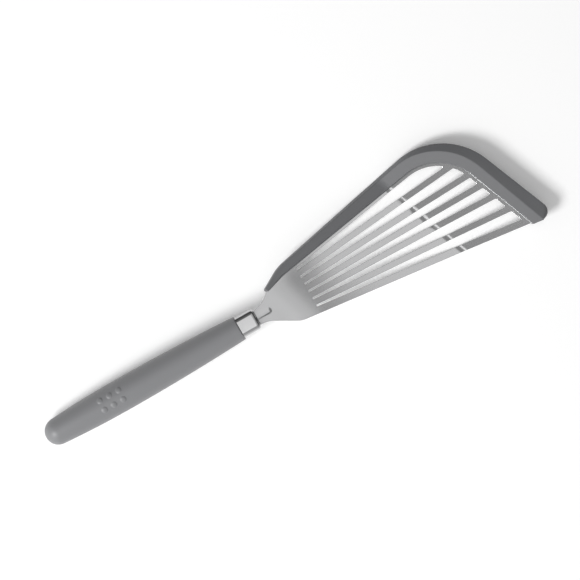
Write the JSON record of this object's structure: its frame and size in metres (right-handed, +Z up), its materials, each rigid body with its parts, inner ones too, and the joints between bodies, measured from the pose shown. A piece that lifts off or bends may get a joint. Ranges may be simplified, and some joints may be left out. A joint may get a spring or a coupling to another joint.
{
  "type": "fish spatula",
  "caption": "Slotted fish spatula: bent stainless blade with fanned tines, slanted front, soft silicone edge strip, polished ferrule and a round soft-touch handle.",
  "frame": {"origin": "bottom centre of the bounding box, with the spatula lying on a flat surface, slotted side up", "axes": "+X from the handle's tail to the blade's front, +Y to the left where the edge strip runs back along the blade, +Z up"},
  "size_m": [0.3432, 0.0783, 0.025],
  "materials": {
    "blade_steel": "fine brushed, lengthwise",
    "edge_silicone": "smooth satin silicone",
    "ferrule_steel": "polished stainless steel",
    "core_plastic": "moulded, hidden",
    "grip_soft": "matte soft-touch"
  },
  "bodies": {
    "root": {"blade": "blade_steel", "edge_strip": "edge_silicone", "ferrule": "ferrule_steel", "handle_core": "core_plastic", "grip": "grip_soft"}
  },
  "joints": []
}
